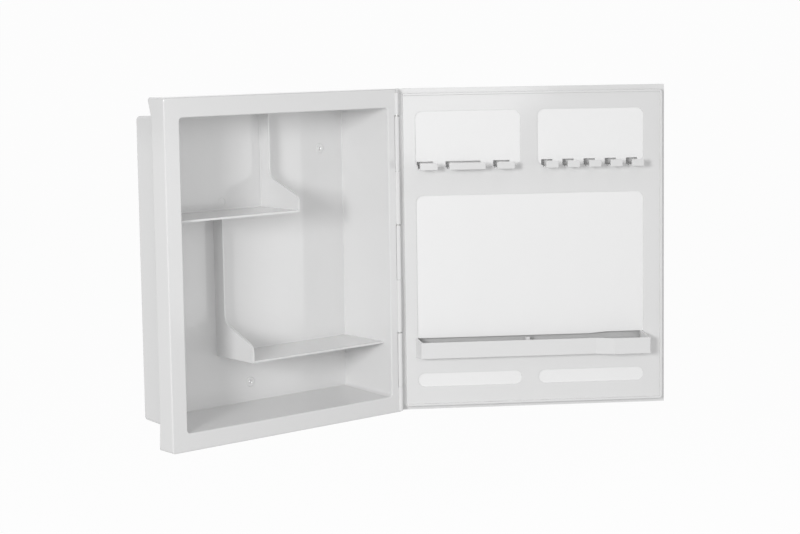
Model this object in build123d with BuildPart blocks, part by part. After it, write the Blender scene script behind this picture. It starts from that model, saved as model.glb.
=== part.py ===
import os
from math import cos, radians, sin, tan

from build123d import *

# Mirrored medicine cabinet with its door swung open, in millimetres.
# +X runs along the cabinet's width, +Y goes into the wall, +Z is up.
# The origin is the middle of the flat back of the recess box.

# Cabinet: the opening, the frame round it and the depth of the whole moulding
openHalfWidth = 180.8
leftBorder = 24.5
rightBorder = 20.9
frameHalfHeight = 240.0
topBorder = 27.4
bottomBorder = 25.0
bodyDepth = 110.0
plateThickness = 2.6
wall = 2.5
backWall = 3.9
frameCorner = 4.0
frameEdge = 1.8
skirtDepth = 30.5
skirtDepthTop = 38.0
skirtDepthBottom = 33.0
skirtRampTop = 26.0
skirtRampBottom = 34.0

# Recess box, wider at the front so that it leaves the mould
openCorner = 5.5
sideDraft = 2.6
topDraft = 2.4
bottomDraft = 4.4
cavityBackEdge = 1.2
openingEdge = 1.8
boxCorner = 6.0
boxBackEdge = 4.0

# Wall screws on low round seats: two near the top, one in the middle near the bottom
screwFromSide = 44.8
screwFromTop = 60.6
screwFromBottom = 32.7
screwRadius = 1.9
sinkDepth = 1.8
sinkAngle = 82.0
seatRadius = 7.2
seatHeight = 0.8
seatSlope = 35.0

# Round mark that the mould leaves on the back wall
markRadius = 6.5
markFromUpright = 70.1
markAboveShelf = 10.7
markDepth = 0.5

# Hinge: four cabinet knuckles and three door knuckles on one steel rod
axisInset = 4.4
barrelRadius = 3.5
rodRadius = 1.5
rodClearance = 0.05
swingGap = 0.3
pinGap = 1.6
barrelTopInset = 5.3
barrelBottomInset = 2.0
topKnuckle = 34.1
bottomKnuckle = 35.8
doorKnuckle = 81.7
rodFloor = 1.5
rodTopInset = 0.8
reliefGap = 0.6
railWidth = 12.0
railDepth = 8.0

# Shelf units: a shelf with an upright, cut from one thin sheet
sheet = 2.8
upperShelfLength = 207.7
upperRoom = 139.6
upperFront = 17.0
upperUprightFront = 85.5
upperSlantTop = 44.5
upperSlantBottom = 19.7
lowerShelfLength = 239.1
lowerRoom = 81.5
lowerFront = 16.5
lowerUprightFront = 84.0
lowerSlantTop = 47.0
lowerSlantBottom = 21.0
uprightBead = 2.0
slantInnerRound = 19.0
slantOuterRound = 12.0

# Door, measured along itself from the hinge axis (u) and out of its inner side (w)
doorOpening = 145.2
doorNear = 0.8
doorOverhang = 0.1
flangeMargin = 7.1
flangeMarginFree = 5.7
flangeDepth = -15.1
flangeThickness = 2.0
hingeWallNear = 4.2
doorWall = 2.2
lipWidth = 3.2
lipFace = -1.5
lipEdge = 0.8
panelFace = -4.5
panelThickness = 1.8
panelCorner = 5.0
panelEdge = 0.8
grooveFace = -9.0
grooveFar = 9.7
webDrop = 5.5
webInset = 0.1

# Windows and slots of the door panel
windowLeft = 27.5
windowFromTop = 33.6
upperWindowHeight = 83.5
crossBar = 41.3
mullionWidth = 25.5
mullionOffset = -1.85
windowCorner = 11.0
slotFromBottom = 35.6
slotHeight = 20.3

# White sheet behind the windows, foam tape and mirror
backingThickness = 1.6
backingGap = 2.0
tapeThickness = 1.0
tapeWidth = 5.0
tapeInset = 1.0
mirrorThickness = 3.0

# Tray under the middle window
trayAboveSlots = 24.8
trayHeight = 24.2
trayWall = 2.2
trayEndSlope = 14.5
trayOverlap = 2.9
trayNearSlant = 6.1
trayFarSlant = 7.8
trayNearRound = 3.0
trayBend = 3.0
trayFarRound = 1.2
trayInnerRound = 0.5
traySideClearance = 4.1
windowFromTrayEnd = 5.3
windowAboveTray = 3.9
sheetStep = 2.0
sheetStepShift = 6.0
trayShelfClearance = 2.5
trayDeep = 23.0
trayRampRoom = 37.4
trayRampLength = 26.5
tongueFromEnd = 164.2
tongueWidth = 7.0
tongueThickness = 2.2
tongueBelowWindow = 2.1

# Hooks that clip through the panel beside the upper windows
hookReach = 22.0
hookHeight = 10.2
hookBelowWindow = 1.9
hookWall = 1.9
hookSlotSide = 0.4
hookTab = 8.0
hookCorner = 1.5
hookEdge = 0.6
slotAboveHook = 0.7
holderSlotNear = 1.9
holderSlotFar = 3.7
brushSlotNear = 2.8
brushSlotFar = 4.1
smallHolderWidth = 26.0
wideHolderWidth = 53.7
holderFirstGap = 3.8
holderGap = 17.1
brushHookWidth = 18.2
brushHookFirstGap = 8.9
brushHookLastGap = 4.8
brushHookCount = 5

# Places that follow from the sizes above
frameLeft = -openHalfWidth - leftBorder
frameRight = openHalfWidth + rightBorder
frameWidth = frameRight - frameLeft
openTop = frameHalfHeight - topBorder
openBottom = -frameHalfHeight + bottomBorder
cavityDepth = bodyDepth - backWall
sinkRadius = screwRadius + sinkDepth * tan(radians(sinkAngle / 2))
screwX = openHalfWidth - screwFromSide
screwTop = openTop - screwFromTop
screwBottom = openBottom + screwFromBottom
axisX = frameRight - axisInset
axisY = -bodyDepth
frontPlane = Plane.XZ.offset(bodyDepth)
cavityBackPlane = Plane.XZ.offset(backWall)

barrelTop = frameHalfHeight - barrelTopInset
barrelBottom = -frameHalfHeight + barrelBottomInset
reliefRadius = barrelRadius + reliefGap
middleKnuckle = (barrelTop - barrelBottom - topKnuckle - bottomKnuckle - 3 * doorKnuckle) / 2
openSeams = [barrelTop - topKnuckle - number * (doorKnuckle + middleKnuckle) for number in range(3)]
tightSeams = [height - doorKnuckle for height in openSeams]
cabinetKnuckles = [
    (openSeams[0] + pinGap / 2, barrelTop),
    (openSeams[1] + pinGap / 2, tightSeams[0]),
    (openSeams[2] + pinGap / 2, tightSeams[1]),
    (barrelBottom, tightSeams[2]),
]
doorKnuckles = [(low + swingGap, high - pinGap / 2) for low, high in zip(tightSeams, openSeams)]

upperShelfTop = openTop - upperRoom
upperUprightX = -openHalfWidth + upperShelfLength
lowerShelfTop = openBottom + lowerRoom
lowerUprightX = openHalfWidth - lowerShelfLength
markX = upperUprightX - markFromUpright
markZ = upperShelfTop + markAboveShelf

turn = radians(doorOpening)
alongDoor = (-cos(turn), -sin(turn), 0)
outOfDoor = (-sin(turn), cos(turn), 0)
doorPlane = Plane(origin=(axisX, axisY, 0), x_dir=alongDoor, z_dir=outOfDoor)
doorFar = axisX - frameLeft + doorOverhang
webEnd = hingeWallNear + doorWall / 2
panelBack = panelFace - panelThickness
grooveBack = grooveFace - panelThickness
flangeBack = flangeDepth - flangeThickness
tapeBack = flangeBack - tapeThickness
mirrorBack = tapeBack - mirrorThickness
hatFar = doorFar - flangeMarginFree
hatHalfHeight = frameHalfHeight - flangeMargin

# The tray passes the left side of the opening and stays in front of the lower shelf
trayFarFront = axisX + openHalfWidth - traySideClearance
trayFar = trayFarFront - trayFarSlant
trayNear = windowLeft - trayOverlap
trayNearFront = trayNear + trayNearSlant
trayShallow = lowerFront - trayShelfClearance
trayRampStart = axisX - lowerUprightX + trayRampRoom
trayRampEnd = trayRampStart + trayRampLength
trayOpenRight = trayFar - trayWall
windowRight = trayFarFront - windowFromTrayEnd
windowMiddle = (windowLeft + windowRight) / 2
mullionLeft = windowMiddle + mullionOffset - mullionWidth / 2
mullionRight = mullionLeft + mullionWidth
upperWindowTop = frameHalfHeight - windowFromTop
upperWindowBottom = upperWindowTop - upperWindowHeight
middleWindowTop = upperWindowBottom - crossBar
slotBottom = -frameHalfHeight + slotFromBottom
slotTop = slotBottom + slotHeight
trayBottom = slotTop + trayAboveSlots
trayTop = trayBottom + trayHeight
middleWindowBottom = trayTop + windowAboveTray
tongueLeft = trayNear + tongueFromEnd
tongueTop = middleWindowBottom - tongueBelowWindow

hookBottom = upperWindowBottom - hookBelowWindow
hookTop = hookBottom + hookHeight
smallHolderLeft = windowLeft + holderFirstGap
wideHolderLeft = smallHolderLeft + smallHolderWidth + holderGap
smallHolderRight = wideHolderLeft + wideHolderWidth + holderGap
brushHookFirst = mullionRight + brushHookFirstGap
brushHookLast = windowRight - brushHookLastGap - brushHookWidth
brushHookPitch = (brushHookLast - brushHookFirst) / (brushHookCount - 1)
holderSlot = (holderSlotNear, holderSlotFar)
brushSlot = (brushSlotNear, brushSlotFar)
holders = [
    ("small_holder_near_hinge", smallHolderLeft, smallHolderWidth, holderSlot),
    ("wide_holder", wideHolderLeft, wideHolderWidth, holderSlot),
    ("small_holder_far", smallHolderRight, smallHolderWidth, holderSlot),
]
brushHooks = [
    (f"brush_hook_{number + 1}", brushHookFirst + number * brushHookPitch, brushHookWidth, brushSlot)
    for number in range(brushHookCount)
]
allHooks = holders + brushHooks


def rectangleBetween(left, right, bottom, top, corner=0.0, mode=Mode.ADD):
    # a rectangle given by its four sides, with rounded corners where asked
    with Locations(((left + right) / 2, (bottom + top) / 2)):
        if corner > 0:
            RectangleRounded(right - left, top - bottom, corner, mode=mode)
        else:
            Rectangle(right - left, top - bottom, mode=mode)


def doorPlan(height):
    # level plane on the hinge axis, its own Y pointing from the inner side of the door to the mirror
    return Plane(origin=(axisX, axisY, height), x_dir=alongDoor, z_dir=(0, 0, 1))


def doorSection(along):
    # upright plane across the door, its own X pointing out of the inner side and its own Y up
    start = doorPlane.from_local_coords((along, 0, 0))
    return Plane(origin=start, x_dir=outOfDoor, z_dir=doorPlane.x_dir * -1)


def recess(grow, endPlane, corner, backEdge):
    # tapered block from the front plane to endPlane, grow wider than the cabinet's inside all round
    share = (bodyDepth + endPlane.origin.Y) / cavityDepth
    with BuildPart() as block:
        with BuildSketch(frontPlane):
            rectangleBetween(-openHalfWidth - grow, openHalfWidth + grow, openBottom - grow, openTop + grow)
        with BuildSketch(endPlane):
            rectangleBetween(
                -openHalfWidth - grow + sideDraft * share,
                openHalfWidth + grow - sideDraft * share,
                openBottom - grow + bottomDraft * share,
                openTop + grow - topDraft * share,
            )
        loft()
        fillet(block.edges().group_by(Axis.Y)[1], radius=corner)
        fillet(block.faces().sort_by(Axis.Y)[-1].edges(), radius=backEdge)
    return block.part


recessOutside = recess(wall, Plane.XZ, boxCorner, boxBackEdge)
recessInside = recess(0, cavityBackPlane, openCorner, cavityBackEdge)

# Cabinet body: front frame, skirt behind it, recess box and the cabinet's own knuckles
with BuildPart() as cabinet_body:
    with BuildSketch(frontPlane):
        rectangleBetween(frameLeft, frameRight, -frameHalfHeight, frameHalfHeight, frameCorner)
    extrude(amount=-skirtDepthTop)
    frontEdges = cabinet_body.edges().group_by(Axis.Y)[0]
    fillet(frontEdges, radius=frameEdge)
    with BuildSketch(frontPlane.offset(-plateThickness)):
        rectangleBetween(
            frameLeft + wall,
            frameRight - wall,
            -frameHalfHeight + wall,
            frameHalfHeight - wall,
            frameCorner - wall,
        )
    extrude(amount=-skirtDepthTop, mode=Mode.SUBTRACT)
    with BuildSketch(Plane.YZ.offset(frameLeft - wall)):
        with BuildLine():
            Polyline(
                (axisY + skirtDepthTop + wall, frameHalfHeight - wall),
                (axisY + skirtDepthTop, frameHalfHeight - wall),
                (axisY + skirtDepth, frameHalfHeight - wall - skirtRampTop),
                (axisY + skirtDepth, -frameHalfHeight + skirtRampBottom),
                (axisY + skirtDepthBottom, -frameHalfHeight),
                (axisY + skirtDepthBottom, -frameHalfHeight - wall),
                (axisY + skirtDepthTop + wall, -frameHalfHeight - wall),
                close=True,
            )
        make_face()
    extrude(amount=frameWidth + 2 * wall, mode=Mode.SUBTRACT)
    with BuildSketch(frontPlane):
        railEnd = frameHalfHeight - wall / 2
        rectangleBetween(frameRight - railWidth, frameRight - wall / 2, -railEnd, railEnd)
    extrude(amount=-railDepth)
    add(recessOutside)
    add(recessInside, mode=Mode.SUBTRACT)
    fillet(cabinet_body.faces().sort_by(Axis.Y)[0].inner_wires().edges(), radius=openingEdge)
    for low, high in cabinetKnuckles:
        with BuildSketch(Plane.XY.offset(low)):
            with Locations((axisX, axisY)):
                Circle(barrelRadius)
        extrude(amount=high - low)
    for low, high in zip(tightSeams, openSeams):
        with BuildSketch(Plane.XY.offset(low)):
            with Locations((axisX, axisY)):
                Circle(reliefRadius)
            rectangleBetween(axisX, frameRight + wall, axisY - wall, axisY + reliefRadius)
        extrude(amount=high + pinGap / 2 - low, mode=Mode.SUBTRACT)
    with BuildSketch(Plane.XY.offset(barrelBottom + rodFloor)):
        with Locations((axisX, axisY)):
            Circle(rodRadius + rodClearance)
    extrude(amount=2 * frameHalfHeight, mode=Mode.SUBTRACT)
    with BuildSketch(cavityBackPlane):
        with Locations((-screwX, screwTop), (screwX, screwTop), (0, screwBottom)):
            Circle(seatRadius)
    extrude(amount=seatHeight, taper=seatSlope)
    with Locations(cavityBackPlane.offset(seatHeight)):
        with Locations((-screwX, screwTop), (screwX, screwTop), (0, screwBottom)):
            CounterSinkHole(
                radius=screwRadius,
                counter_sink_radius=sinkRadius,
                depth=backWall + seatHeight,
                counter_sink_angle=sinkAngle,
            )
    with BuildSketch(cavityBackPlane):
        with Locations((markX, markZ)):
            Circle(markRadius)
    extrude(amount=-markDepth, mode=Mode.SUBTRACT)
cabinet_body.part.label = "cabinet_body"


# Upper shelf on the left, with its upright running to the ceiling
with BuildPart() as upper_shelf:
    with BuildSketch(Plane.XY.offset(upperShelfTop - sheet)):
        rectangleBetween(-openHalfWidth - wall, upperUprightX + sheet, axisY + upperFront, -backWall + wall)
    extrude(amount=sheet)
    with BuildSketch(Plane.YZ.offset(upperUprightX)):
        with BuildLine():
            FilletPolyline(
                (axisY + upperUprightFront, openTop + wall),
                (axisY + upperUprightFront, upperShelfTop + upperSlantTop),
                (axisY + upperFront, upperShelfTop + upperSlantBottom),
                (axisY + upperFront, upperShelfTop - sheet),
                radius=[slantInnerRound, slantOuterRound],
            )
            Polyline(
                (axisY + upperFront, upperShelfTop - sheet),
                (-backWall + wall, upperShelfTop - sheet),
                (-backWall + wall, openTop + wall),
                (axisY + upperUprightFront, openTop + wall),
            )
        make_face()
    extrude(amount=sheet)
    with BuildSketch(Plane.XY.offset(upperShelfTop)):
        with BuildLine():
            Polyline(
                (upperUprightX, -backWall - uprightBead),
                (upperUprightX, -backWall),
                (upperUprightX - uprightBead, -backWall),
            )
            RadiusArc(
                (upperUprightX - uprightBead, -backWall),
                (upperUprightX, -backWall - uprightBead),
                uprightBead,
            )
        make_face()
    extrude(amount=upperRoom)
    add(recessInside, mode=Mode.INTERSECT)
upper_shelf.part.label = "upper_shelf"

# Lower shelf on the right, with its upright running to the underside of the upper shelf
with BuildPart() as lower_shelf:
    with BuildSketch(Plane.XY.offset(lowerShelfTop - sheet)):
        rectangleBetween(lowerUprightX, openHalfWidth + wall, axisY + lowerFront, -backWall + wall)
    extrude(amount=sheet)
    with BuildSketch(Plane.YZ.offset(lowerUprightX)):
        with BuildLine():
            FilletPolyline(
                (axisY + lowerUprightFront, upperShelfTop - sheet),
                (axisY + lowerUprightFront, lowerShelfTop + lowerSlantTop),
                (axisY + lowerFront, lowerShelfTop + lowerSlantBottom),
                (axisY + lowerFront, lowerShelfTop - sheet),
                radius=[slantInnerRound, slantOuterRound],
            )
            Polyline(
                (axisY + lowerFront, lowerShelfTop - sheet),
                (-backWall + wall, lowerShelfTop - sheet),
                (-backWall + wall, upperShelfTop - sheet),
                (axisY + lowerUprightFront, upperShelfTop - sheet),
            )
        make_face()
    extrude(amount=sheet)
    add(recessInside, mode=Mode.INTERSECT)
lower_shelf.part.label = "lower_shelf"

# Hinge rod through all seven knuckles, standing on the floor of the lowest one
with BuildPart() as hinge_rod:
    with BuildSketch(Plane.XY.offset(barrelBottom + rodFloor)):
        with Locations((axisX, axisY)):
            Circle(rodRadius)
    extrude(amount=barrelTop - rodTopInset - barrelBottom - rodFloor)
hinge_rod.part.label = "hinge_rod"

# Door panel: a hat-shaped moulding, its flange carries the mirror
def hatOutline(near, inset):
    # outline of the raised part, square beside the hinge and rounded at the free side
    top = hatHalfHeight - inset
    rectangleBetween(near + inset, hatFar - inset, -top, top, panelCorner - inset)
    rectangleBetween(near + inset, hatFar - 2 * panelCorner, -top, top)


with BuildPart() as door_panel:
    with BuildSketch(doorPlane.offset(flangeBack)):
        rectangleBetween(doorNear, doorFar, -frameHalfHeight, frameHalfHeight)
    extrude(amount=flangeThickness)
    with BuildSketch(doorPlane.offset(flangeDepth)):
        hatOutline(hingeWallNear, 0)
    extrude(amount=grooveFace - flangeDepth)
    with BuildSketch(doorPlane.offset(grooveFace)):
        hatOutline(grooveFar, 0)
    extrude(amount=panelFace - grooveFace)
    with BuildSketch(doorPlane.offset(panelFace)):
        hatOutline(grooveFar, 0)
        rectangleBetween(
            grooveFar - panelCorner,
            hatFar - lipWidth,
            -hatHalfHeight + lipWidth,
            hatHalfHeight - lipWidth,
            panelCorner - lipWidth,
            Mode.SUBTRACT,
        )
    extrude(amount=lipFace - panelFace)
    fillet(door_panel.edges().group_by(Axis((0, 0, 0), outOfDoor))[-1], radius=lipEdge)
    besideGroove = doorPlane.from_local_coords((grooveFar, 0, panelFace))
    fillet(door_panel.edges().sort_by_distance(besideGroove)[0], radius=panelEdge)
    with BuildSketch(doorPlane.offset(flangeBack)):
        hatOutline(hingeWallNear, doorWall)
    extrude(amount=grooveBack - flangeBack, mode=Mode.SUBTRACT)
    with BuildSketch(doorPlane.offset(flangeBack)):
        hatOutline(grooveFar, doorWall)
    extrude(amount=panelBack - flangeBack, mode=Mode.SUBTRACT)
    with BuildSketch(doorPlane.offset(panelBack)):
        for left, right in ((windowLeft, mullionLeft), (mullionRight, windowRight)):
            rectangleBetween(left, right, upperWindowBottom, upperWindowTop, windowCorner)
            with Locations(((left + right) / 2, (slotBottom + slotTop) / 2)):
                SlotOverall(right - left, slotTop - slotBottom)
        rectangleBetween(windowLeft, windowRight, middleWindowBottom, middleWindowTop, windowCorner)
        rectangleBetween(windowLeft, windowRight, middleWindowBottom, middleWindowTop - windowCorner)
        rectangleBetween(windowLeft, trayOpenRight, trayBottom + trayWall, middleWindowTop - windowCorner)
        for name, left, width, slot in allHooks:
            slotLeft = left - hookSlotSide
            slotRight = left + width + hookSlotSide
            rectangleBetween(slotLeft, slotRight, hookBottom, upperWindowBottom + windowCorner)
    extrude(amount=panelThickness, mode=Mode.SUBTRACT)
    for low, high in doorKnuckles:
        with BuildSketch(doorPlan(low)):
            Circle(barrelRadius)
            with BuildLine():
                Polyline(
                    (0, 0),
                    (hingeWallNear, webDrop),
                    (hingeWallNear, -grooveBack),
                    (webEnd, -grooveBack),
                    (webEnd, -grooveFace),
                    (barrelRadius - webInset, 0),
                    close=True,
                )
            make_face()
            Circle(rodRadius + rodClearance, mode=Mode.SUBTRACT)
        extrude(amount=high - low)
door_panel.part.label = "door_panel"

# White sheet that closes the windows from behind, cut out behind the hooks and the tray
with BuildPart() as backing_sheet:
    with BuildSketch(doorPlane.offset(panelBack - backingThickness)):
        rectangleBetween(
            grooveFar + doorWall + backingGap,
            hatFar - doorWall - backingGap,
            -hatHalfHeight + doorWall + backingGap,
            hatHalfHeight - doorWall - backingGap,
        )
        with BuildLine():
            Polyline(
                (windowLeft, trayBottom + trayWall),
                (trayOpenRight, trayBottom + trayWall),
                (trayOpenRight, middleWindowBottom + sheetStep),
                (trayRampEnd - sheetStepShift, middleWindowBottom + sheetStep),
                (trayRampStart - sheetStepShift, middleWindowBottom),
                (windowLeft, middleWindowBottom),
                close=True,
            )
        make_face(mode=Mode.SUBTRACT)
        for name, left, width, slot in allHooks:
            rectangleBetween(
                left - hookSlotSide,
                left + width + hookSlotSide,
                hookBottom - hookTab - hookSlotSide,
                hookBottom + hookWall + hookSlotSide,
                0,
                Mode.SUBTRACT,
            )
            rectangleBetween(
                left - slot[0], left + width - slot[1], hookBottom, hookTop + slotAboveHook, 0, Mode.SUBTRACT
            )
    extrude(amount=backingThickness)
backing_sheet.part.label = "backing_sheet"

# Four strips of foam tape between the flange and the mirror
tapeLeft = doorNear + tapeInset
tapeRight = doorFar - tapeInset
tapeOuter = frameHalfHeight - tapeInset
tapeInner = tapeOuter - tapeWidth
tapeStrips = [
    ("mirror_tape_top", tapeLeft, tapeRight, tapeInner, tapeOuter),
    ("mirror_tape_bottom", tapeLeft, tapeRight, -tapeOuter, -tapeInner),
    ("mirror_tape_hinge_side", tapeLeft, tapeLeft + tapeWidth, -tapeInner, tapeInner),
    ("mirror_tape_free_side", tapeRight - tapeWidth, tapeRight, -tapeInner, tapeInner),
]


def tape(name, left, right, bottom, top):
    with BuildPart() as strip:
        with BuildSketch(doorPlane.offset(tapeBack)):
            rectangleBetween(left, right, bottom, top)
        extrude(amount=tapeThickness)
    strip.part.label = name
    return strip.part


tapeParts = [tape(*strip) for strip in tapeStrips]

# Mirror, as large as the flange
with BuildPart() as mirror:
    with BuildSketch(doorPlane.offset(mirrorBack)):
        rectangleBetween(doorNear, doorFar, -frameHalfHeight, frameHalfHeight)
    extrude(amount=mirrorThickness)
mirror.part.label = "mirror"


def trayPlan(inset):
    # corners and their roundings, seen from above: shallow near the hinge, deeper towards the free side
    corners = [
        (trayNear + inset, -panelFace),
        (trayNearFront + inset, -trayShallow + inset),
        (trayRampStart, -trayShallow + inset),
        (trayRampEnd, -trayDeep + inset),
        (trayFarFront - inset, -trayDeep + inset),
        (trayFar - inset, -panelFace),
    ]
    rounds = [
        max(trayNearRound - inset, trayInnerRound),
        trayBend + inset,
        max(trayBend - inset, trayInnerRound),
        max(trayFarRound - inset, trayInnerRound),
    ]
    return corners, rounds


# Tray: its ends rise towards the panel, and a tongue stands on its floor against the panel
trayDeepStart = (trayRampEnd + trayFar) / 2
traySlope = tan(radians(trayEndSlope))
trayTallest = trayTop + (trayDeep - panelFace) * traySlope
with BuildPart() as tray:
    for inset, mode in ((0, Mode.ADD), (trayWall, Mode.SUBTRACT)):
        corners, rounds = trayPlan(inset)
        with BuildSketch(doorPlan(trayBottom + inset)):
            with BuildLine():
                FilletPolyline(*corners, radius=rounds)
                Line(corners[-1], corners[0])
            make_face()
        extrude(amount=trayTallest - trayBottom, mode=mode)
    for start, end, front in ((0, trayDeepStart, trayShallow), (trayDeepStart, doorFar, trayDeep)):
        slopeFoot = front - trayWall
        with BuildSketch(doorSection(start)):
            with BuildLine():
                Polyline(
                    (panelFace, trayTop + (slopeFoot - panelFace) * traySlope),
                    (slopeFoot, trayTop),
                    (trayDeep + trayWall, trayTop),
                    (trayDeep + trayWall, trayTallest + trayWall),
                    (panelFace, trayTallest + trayWall),
                    close=True,
                )
            make_face()
        extrude(amount=start - end, mode=Mode.SUBTRACT)
    with BuildSketch(doorPlan(trayBottom)):
        with BuildLine():
            Polyline(
                (tongueLeft, -panelFace),
                (tongueLeft + tongueThickness, -panelFace - tongueThickness),
                (tongueLeft + tongueWidth, -panelFace - tongueThickness),
                (tongueLeft + tongueWidth, -panelFace),
                close=True,
            )
        make_face()
    extrude(amount=tongueTop - trayBottom)
tray.part.label = "tray"


def hook(name, left, width):
    # J-shaped clip: lip, floor through the panel's notch, and a tab behind the panel
    with BuildPart() as clip:
        with BuildSketch(doorSection(left)):
            rectangleBetween(panelBack - hookWall, hookReach, hookBottom, hookBottom + hookWall)
            rectangleBetween(hookReach - hookWall, hookReach, hookBottom, hookTop)
            rectangleBetween(panelBack - hookWall, panelBack, hookBottom - hookTab, hookBottom + hookWall)
        extrude(amount=-width)
        straightOut = clip.edges().filter_by(Axis((0, 0, 0), outOfDoor)).group_by(Axis.Z)
        fillet(straightOut[1] + straightOut[-1], radius=hookCorner)
        lipFront = clip.faces().sort_by(Axis((0, 0, 0), outOfDoor))[-1]
        fillet(lipFront.edges(), radius=hookEdge)
    clip.part.label = name
    return clip.part


hookParts = [hook(name, left, width) for name, left, width, slot in allHooks]

os.makedirs("parts", exist_ok=True)
sections = [
    cabinet_body.part,
    upper_shelf.part,
    lower_shelf.part,
    hinge_rod.part,
    door_panel.part,
    backing_sheet.part,
    mirror.part,
    tray.part,
]
for piece in sections + tapeParts + hookParts:
    export_step(piece, f"parts/{piece.label}.step")
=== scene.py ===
import math

import bpy
import numpy as np
from mathutils import Matrix, Vector


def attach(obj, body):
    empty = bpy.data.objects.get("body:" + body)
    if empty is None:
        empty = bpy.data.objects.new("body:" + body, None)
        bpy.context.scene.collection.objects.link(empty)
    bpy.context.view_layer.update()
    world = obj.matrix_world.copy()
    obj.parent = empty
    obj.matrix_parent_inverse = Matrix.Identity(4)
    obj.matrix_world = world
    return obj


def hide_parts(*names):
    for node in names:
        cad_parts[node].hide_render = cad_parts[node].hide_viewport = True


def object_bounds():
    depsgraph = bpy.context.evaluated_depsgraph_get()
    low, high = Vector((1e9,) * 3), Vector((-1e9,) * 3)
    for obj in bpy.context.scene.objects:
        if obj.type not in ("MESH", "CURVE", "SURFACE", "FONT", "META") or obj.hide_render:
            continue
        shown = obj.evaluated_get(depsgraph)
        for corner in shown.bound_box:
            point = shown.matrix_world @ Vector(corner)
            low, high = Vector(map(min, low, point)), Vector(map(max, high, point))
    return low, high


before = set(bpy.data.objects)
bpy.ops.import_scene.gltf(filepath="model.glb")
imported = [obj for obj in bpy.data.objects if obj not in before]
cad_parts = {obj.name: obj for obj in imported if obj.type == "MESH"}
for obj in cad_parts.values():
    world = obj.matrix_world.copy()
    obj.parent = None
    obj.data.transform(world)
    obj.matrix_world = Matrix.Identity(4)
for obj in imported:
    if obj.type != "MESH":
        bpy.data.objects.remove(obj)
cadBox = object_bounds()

print("frame loaded:", len(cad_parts), "nodes")

# Camera of the photograph, fitted to the cabinet's edges; metres, but lens and sensor in millimetres
view = {
    "place": (-1.5145, -2.1354, 0.3160),
    "right": (0.76292151, -0.64632157, -0.01480558),
    "down": (-0.07879745, -0.07023346, -0.99441351),
    "forward": (0.64167105, 0.7598261, -0.10451111),
    "lens": 81.4,
    "sensor": 36.0,
    "shiftX": 0.0032,
    "shiftY": -0.0504,
    "farthest": 60.0,
}


def placeCamera(settings):
    data = bpy.data.cameras.new("photoCamera")
    data.sensor_width = settings["sensor"]
    data.lens = settings["lens"]
    data.shift_x = settings["shiftX"]
    data.shift_y = settings["shiftY"]
    data.clip_end = settings["farthest"]
    camera = bpy.data.objects.new("photoCamera", data)
    right, down, forward = (np.array(settings[name]) for name in ("right", "down", "forward"))
    turned = Matrix(np.array([right, -down, -forward]).T.tolist()).to_4x4()
    camera.matrix_world = Matrix.Translation(settings["place"]) @ turned
    bpy.context.scene.collection.objects.link(camera)
    bpy.context.scene.camera = camera


placeCamera(view)
print("camera placed")

# a Mix node's sockets share their names, so its two colour inputs and its colour output go by place
mixColours = (6, 7)
mixResult = 2
noiseMiddle = 0.5  # the value that a noise swings about


class Socket:
    # one output of a node; arithmetic on it adds Math nodes
    def __init__(self, finish, link):
        self.finish = finish
        self.link = link

    def out(self, name):
        # another output of the same node
        return Socket(self.finish, self.link.node.outputs[name])

    def maths(self, kind, first, second):
        return self.finish.add("ShaderNodeMath", {"operation": kind}, {0: first, 1: second})

    def __add__(self, other):
        return self.maths("ADD", self, other)

    def __radd__(self, other):
        return self.maths("ADD", other, self)

    def __sub__(self, other):
        return self.maths("SUBTRACT", self, other)

    def __rsub__(self, other):
        return self.maths("SUBTRACT", other, self)

    def __mul__(self, other):
        return self.maths("MULTIPLY", self, other)

    def __rmul__(self, other):
        return self.maths("MULTIPLY", other, self)

    def __gt__(self, other):
        return self.maths("GREATER_THAN", self, other)

    def __lt__(self, other):
        return self.maths("LESS_THAN", self, other)


class Finish:
    # a material whose nodes are added one by one
    def __init__(self, name):
        self.material = bpy.data.materials.new(name)
        self.material.use_nodes = True
        self.tree = self.material.node_tree
        self.tree.nodes.clear()
        self.output = self.tree.nodes.new("ShaderNodeOutputMaterial")

    def add(self, kind, settings, values):
        # a node of one kind: its settings first, then the values or links of its sockets
        node = self.tree.nodes.new(kind)
        for name, setting in settings.items():
            setattr(node, name, setting)
        for name, value in values.items():
            if isinstance(value, Socket):
                self.tree.links.new(value.link, node.inputs[name])
            else:
                node.inputs[name].default_value = value
        return Socket(self, next(output for output in node.outputs if output.enabled))

    def where(self, name="Object"):
        return self.add("ShaderNodeTexCoord", {}, {}).out(name)

    def noise(self, scale, detail, rough, spot=None):
        values = {"Vector": spot or self.where(), "Scale": scale, "Detail": detail, "Roughness": rough}
        return self.add("ShaderNodeTexNoise", {}, values)

    def bump(self, depth, height, values):
        return self.add("ShaderNodeBump", {}, {"Distance": depth, "Height": height, **values})

    def blend(self, share, first, second):
        # from the first colour to the second as the share goes from 0 to 1
        values = {"Factor": share}
        for place, colour in zip(mixColours, (first, second)):
            values[place] = colour if isinstance(colour, Socket) else (*colour, 1)
        node = self.add("ShaderNodeMix", {"data_type": "RGBA"}, values)
        return node.out(mixResult)

    def close(self, values):
        # the surface's own shader, which ends the material
        shader = self.add("ShaderNodeBsdfPrincipled", {}, values)
        self.tree.links.new(shader.link, self.output.inputs["Surface"])
        return self.material


# In all finishes a noise is its scale, its detail and its roughness; depths and edges are in metres
plastic = {
    "shade": (0.79, 0.79, 0.79),
    "shadeDeep": (0.775, 0.775, 0.775),
    "clouds": (14.0, 3.0, 0.55),
    "roughness": 0.05,
    "roughnessSwing": 0.02,
    "flow": (60.0, 4.0, 0.6),
    "grain": (1700.0, 2.0, 0.5),
    "grainDepth": 0.000012,
    "edge": 0.0009,
    "edgeSamples": 4,
    "specular": 0.6,
}


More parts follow.
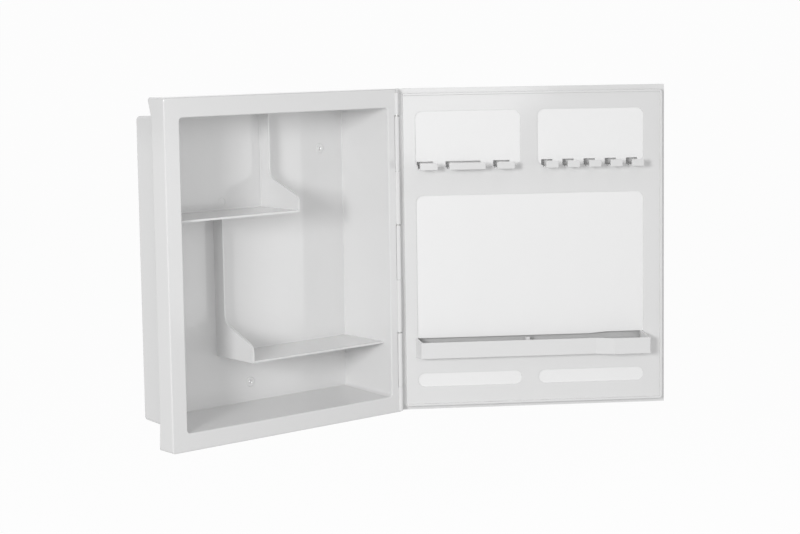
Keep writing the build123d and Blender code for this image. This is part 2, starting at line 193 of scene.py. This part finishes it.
def whitePlastic(name, settings):
    # moulded white plastic: faint clouds in the colour, a fine eroded grain and softened edges
    finish = Finish(name)
    clouds = finish.noise(*settings["clouds"])
    flow = finish.noise(*settings["flow"])
    grain = finish.noise(*settings["grain"])
    edge = finish.add("ShaderNodeBevel", {"samples": settings["edgeSamples"]}, {"Radius": settings["edge"]})
    return finish.close({
        "Base Color": finish.blend(clouds, settings["shadeDeep"], settings["shade"]),
        "Roughness": settings["roughness"] + (flow - noiseMiddle) * settings["roughnessSwing"],
        "Specular IOR Level": settings["specular"],
        "Normal": finish.bump(settings["grainDepth"], grain, {"Normal": edge}),
    })


def finishNodes(names, material):
    for name in names:
        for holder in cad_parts[name].material_slots:
            holder.material = material


doorClips = [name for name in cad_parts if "holder" in name or "hook" in name]
finishNodes(["cabinet_body", "lower_shelf", "tray", *doorClips], whitePlastic("whitePlastic", plastic))

# the door panel's window edges and the upper shelf's bead are crisper
thinPlastic = {**plastic, "edge": 0.00025}
finishNodes(["door_panel", "upper_shelf"], whitePlastic("thinPlastic", thinPlastic))

sheet = {
    "shade": (0.88, 0.88, 0.88),
    "shadeDeep": (0.868, 0.868, 0.868),
    "clouds": (25.0, 2.0, 0.5),
    "pulp": (900.0, 3.0, 0.6),
    "pulpDepth": 0.000008,
    "roughness": 0.5,
    "roughnessSwing": 0.1,
}


def whiteBoard(settings):
    # smooth white board with a faint pulp grain
    finish = Finish("whiteBoard")
    clouds = finish.noise(*settings["clouds"])
    pulp = finish.noise(*settings["pulp"])
    return finish.close({
        "Base Color": finish.blend(clouds, settings["shadeDeep"], settings["shade"]),
        "Roughness": settings["roughness"] + (pulp - noiseMiddle) * settings["roughnessSwing"],
        "Normal": finish.bump(settings["pulpDepth"], pulp, {}),
    })


finishNodes(["backing_sheet"], whiteBoard(sheet))

steel = {
    "shade": (0.62, 0.62, 0.61),
    "streaks": (900.0, 3.0, 0.6),
    "streakStretch": 0.02,  # scale along the rod against that across it
    "streakDepth": 0.00001,
    "roughness": 0.28,
    "roughnessSwing": 0.15,
}


def drawnSteel(settings):
    # bright drawn wire: fine scratches along the rod
    finish = Finish("drawnSteel")
    stretch = {"Vector": finish.where(), "Scale": (1, 1, settings["streakStretch"])}
    streaks = finish.noise(*settings["streaks"], finish.add("ShaderNodeMapping", {}, stretch))
    return finish.close({
        "Base Color": (*settings["shade"], 1),
        "Metallic": 1.0,
        "Roughness": settings["roughness"] + (streaks - noiseMiddle) * settings["roughnessSwing"],
        "Normal": finish.bump(settings["streakDepth"], streaks, {}),
    })


finishNodes(["hinge_rod"], drawnSteel(steel))

foam = {
    "shade": (0.72, 0.71, 0.67),
    "shadeDeep": (0.60, 0.59, 0.55),
    "cell": 1400.0,
    "cellDepth": 0.00008,
    "roughness": 0.85,
}


def foamTape(settings):
    # double-sided foam tape: closed cells
    finish = Finish("foamTape")
    cells = finish.add("ShaderNodeTexVoronoi", {}, {"Vector": finish.where(), "Scale": settings["cell"]})
    return finish.close({
        "Base Color": finish.blend(cells, settings["shadeDeep"], settings["shade"]),
        "Roughness": settings["roughness"],
        "Normal": finish.bump(settings["cellDepth"], cells, {}),
    })


finishNodes([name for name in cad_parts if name.startswith("mirror_tape")], foamTape(foam))
print("finishes made")

# Near, far, front and back are measured from the hinge axis, along the door and towards its inner side
mirror = {
    "hinge": (0.1973, -0.110),
    "doorAngle": 145.2,
    "near": 0.0008,
    "far": 0.4027,
    "halfHeight": 0.240,
    "front": -0.0211,
    "back": -0.0181,
    "groundEdge": 0.0005,
    "silver": (0.90, 0.90, 0.90),
    "edge": (0.42, 0.60, 0.53),
    "paint": (0.64, 0.64, 0.64),
    # the lighter grey above the height below is painted light, not the glass's own paint: it lightens the
    # shaded slots behind the hooks
    "paintedLightAbove": (0.88, 0.88, 0.88),
    "paintedLightHeight": 0.03,  # height at which the paint turns lighter
    "roughness": 0.32,
    "polish": 0.30,  # how much smoother the silvered front is
    "smear": (11.0, 4.0, 0.6),
    "smearSwing": 0.02,
    "facing": 0.9,  # how squarely a face looks forward or back to count as the front or the back
}


def doorWays(settings):
    # level directions along the open door from its hinge, and out of the door on its inner side
    turn = math.radians(settings["doorAngle"])
    return np.array([-math.cos(turn), -math.sin(turn)]), np.array([-math.sin(turn), math.cos(turn)])


def silveredGlass(settings):
    # mirror glass: silver seen through the front, green ground edges, grey paint behind, painted lighter
    # above a set height as painted light in the shaded slots behind the hooks
    finish = Finish("silveredGlass")
    inward = doorWays(settings)[1]
    outward = finish.add("ShaderNodeVectorMath", {"operation": "DOT_PRODUCT"}, {
        0: finish.where("Normal"), 1: (*-inward, 0.0),
    }).out("Value")
    front = outward > settings["facing"]
    behind = outward < -settings["facing"]
    smear = finish.noise(*settings["smear"])
    spot = finish.add("ShaderNodeSeparateXYZ", {}, {"Vector": finish.where()})
    # painted light: above this height the back paint is lighter, so the shaded slots behind the hooks look
    # lighter
    paintedLightZone = spot.out("Z") > settings["paintedLightHeight"]
    paint = finish.blend(paintedLightZone, settings["paint"], settings["paintedLightAbove"])
    colour = finish.blend(behind, settings["edge"], paint)
    return finish.close({
        "Base Color": finish.blend(front, colour, settings["silver"]),
        "Metallic": front,
        "Roughness": settings["roughness"] - front * settings["polish"] + smear * settings["smearSwing"],
    })


def mirrorPlate(settings):
    # glass plate with ground edges: a profile of insets and depths carried round the plate's rectangle
    # along the door: the plate's middle, plus or minus half its length without the inset
    # up the door: plus or minus half its height without the inset; out of the door: the depth
    cut = settings["groundEdge"]
    depth = np.array([settings["front"], settings["front"] + cut, settings["back"] - cut, settings["back"]])
    inset = np.array([cut, 0, 0, cut])
    side = np.array([-1, 1, 1, -1])
    rise = np.array([-1, -1, 1, 1])
    middle = (settings["near"] + settings["far"]) / 2
    halfLength = (settings["far"] - settings["near"]) / 2
    along = middle + side * (halfLength - inset[:, None])
    height = rise * (settings["halfHeight"] - inset[:, None])
    alongDoor, inward = doorWays(settings)
    level = np.array(settings["hinge"]) + along[..., None] * alongDoor + depth[:, None, None] * inward
    points = np.concatenate([level, height[..., None]], axis=2)
    rings, corners = height.shape
    start = np.arange(rings - 1)[:, None] * corners
    corner = np.arange(corners)
    after = (corner + 1) % corners
    walls = [start + corner, start + after, start + after + corners, start + corner + corners]
    caps = np.array([corner[::-1], (rings - 1) * corners + corner])
    faces = np.concatenate([np.stack(walls, axis=2).reshape(-1, 4), caps])
    mesh = bpy.data.meshes.new("mirror_plate")
    mesh.from_pydata(points.reshape(-1, 3).tolist(), [], faces.tolist())
    mesh.materials.append(silveredGlass(settings))
    piece = bpy.data.objects.new("mirror_plate", mesh)
    bpy.context.scene.collection.objects.link(piece)
    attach(piece, "door")
    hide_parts("mirror")


mirrorPlate(mirror)
print("mirror plate made")

# Floor and backdrop in one; ways along it are measured from the cabinet's middle, as the camera looks
backdrop = {
    "drop": 0.35,  # from the cabinet's lowest point down to the floor
    "forward": (0.645, 0.764),
    "nearEnd": -8.0,
    "bendStart": 6.0,
    "bendRadius": 2.0,
    "bendSteps": 24,
    "top": 8.0,
    "halfWidth": 14.0,
    "shade": (0.08, 0.08, 0.08),
    "shadeDeep": (0.0792, 0.0792, 0.0792),
    "clouds": (2.0, 2.0, 0.5),
    "roughness": 0.9,
    "glow": 0.939,
}


def floorPaint(settings):
    # matt pale paint that glows evenly, with faint clouds
    finish = Finish("floorPaint")
    clouds = finish.noise(*settings["clouds"])
    return finish.close({
        "Base Color": finish.blend(clouds, settings["shadeDeep"], settings["shade"]),
        "Roughness": settings["roughness"],
        "Specular IOR Level": 0.0,
        "Emission Color": (1, 1, 1, 1),
        "Emission Strength": settings["glow"],
    })


def sweep(settings):
    # floor that curves up into a backdrop: a line, a quarter circle and a line, carried along its width
    low = cadBox[0][2] - settings["drop"]
    start, radius = settings["bendStart"], settings["bendRadius"]
    angle = np.linspace(0, math.pi / 2, settings["bendSteps"])
    along = np.concatenate([[settings["nearEnd"]], start + radius * np.sin(angle), [start + radius]])
    rise = np.concatenate([[low], low + radius * (1 - np.cos(angle)), [settings["top"]]])
    across = np.array([-1, 1]) * settings["halfWidth"]
    forward = np.array(settings["forward"])
    sideways = forward[::-1] * (1, -1)
    place = along[:, None, None] * forward + across[None, :, None] * sideways
    points = np.concatenate([place, np.broadcast_to(rise[:, None, None], (*place.shape[:2], 1))], axis=2)
    row = 2 * np.arange(len(along) - 1)
    faces = np.stack([row + 2, row + 3, row + 1, row], axis=1)
    mesh = bpy.data.meshes.new("floor")
    mesh.from_pydata(points.reshape(-1, 3).tolist(), [], faces.tolist())
    mesh.polygons.foreach_set("use_smooth", np.ones(len(faces), bool))
    mesh.materials.append(floorPaint(settings))
    floor = bpy.data.objects.new("floor", mesh)
    bpy.context.scene.collection.objects.link(floor)
    floor.visible_diffuse = False  # its glow shows and is reflected, but lights nothing


sweep(backdrop)
print("floor laid")

# Lamps stand at one distance round the cabinet's middle and look at it. Azimuth is the angle from
# straight in front towards its left and height the angle above level, in degrees; power is in watts
studio = {
    "middle": (0.10, -0.15, 0.0),
    "distance": 3.0,
    "sky": 0.42,
    "lamps": [
        {"name": "key", "azimuth": 62.0, "height": 10.0, "size": 0.7, "power": 40.2},
        {"name": "besideCamera", "azimuth": 30.0, "height": 12.0, "size": 1.5, "power": 10.6},
        {"name": "front", "azimuth": -10.0, "height": 0.0, "size": 2.0, "power": 3.7},
        {"name": "right", "azimuth": -42.0, "height": 2.0, "size": 2.0, "power": 8.3},
        {"name": "high", "azimuth": 20.0, "height": 50.0, "size": 1.5, "power": 2.4},
    ],
}


def softLamp(lamp, middle, distance):
    turn, lift = math.radians(lamp["azimuth"]), math.radians(lamp["height"])
    toward = Vector((-math.sin(turn) * math.cos(lift), -math.cos(turn) * math.cos(lift), math.sin(lift)))
    data = bpy.data.lights.new(lamp["name"], "AREA")
    data.shape = "DISK"
    data.size = lamp["size"]
    data.energy = lamp["power"]
    stand = bpy.data.objects.new(lamp["name"], data)
    place = Vector(middle) + toward * distance
    stand.matrix_world = Matrix.Translation(place) @ (-toward).to_track_quat("-Z", "Y").to_matrix().to_4x4()
    bpy.context.scene.collection.objects.link(stand)


def studioLight(settings):
    world = bpy.data.worlds.new("studio")
    world.use_nodes = True
    sky = world.node_tree.nodes["Background"]
    sky.inputs["Color"].default_value = (1, 1, 1, 1)
    sky.inputs["Strength"].default_value = settings["sky"]
    bpy.context.scene.world = world
    bpy.context.scene.view_settings.view_transform = "Standard"
    for lamp in settings["lamps"]:
        softLamp(lamp, settings["middle"], settings["distance"])


studioLight(studio)
print("studio lit")
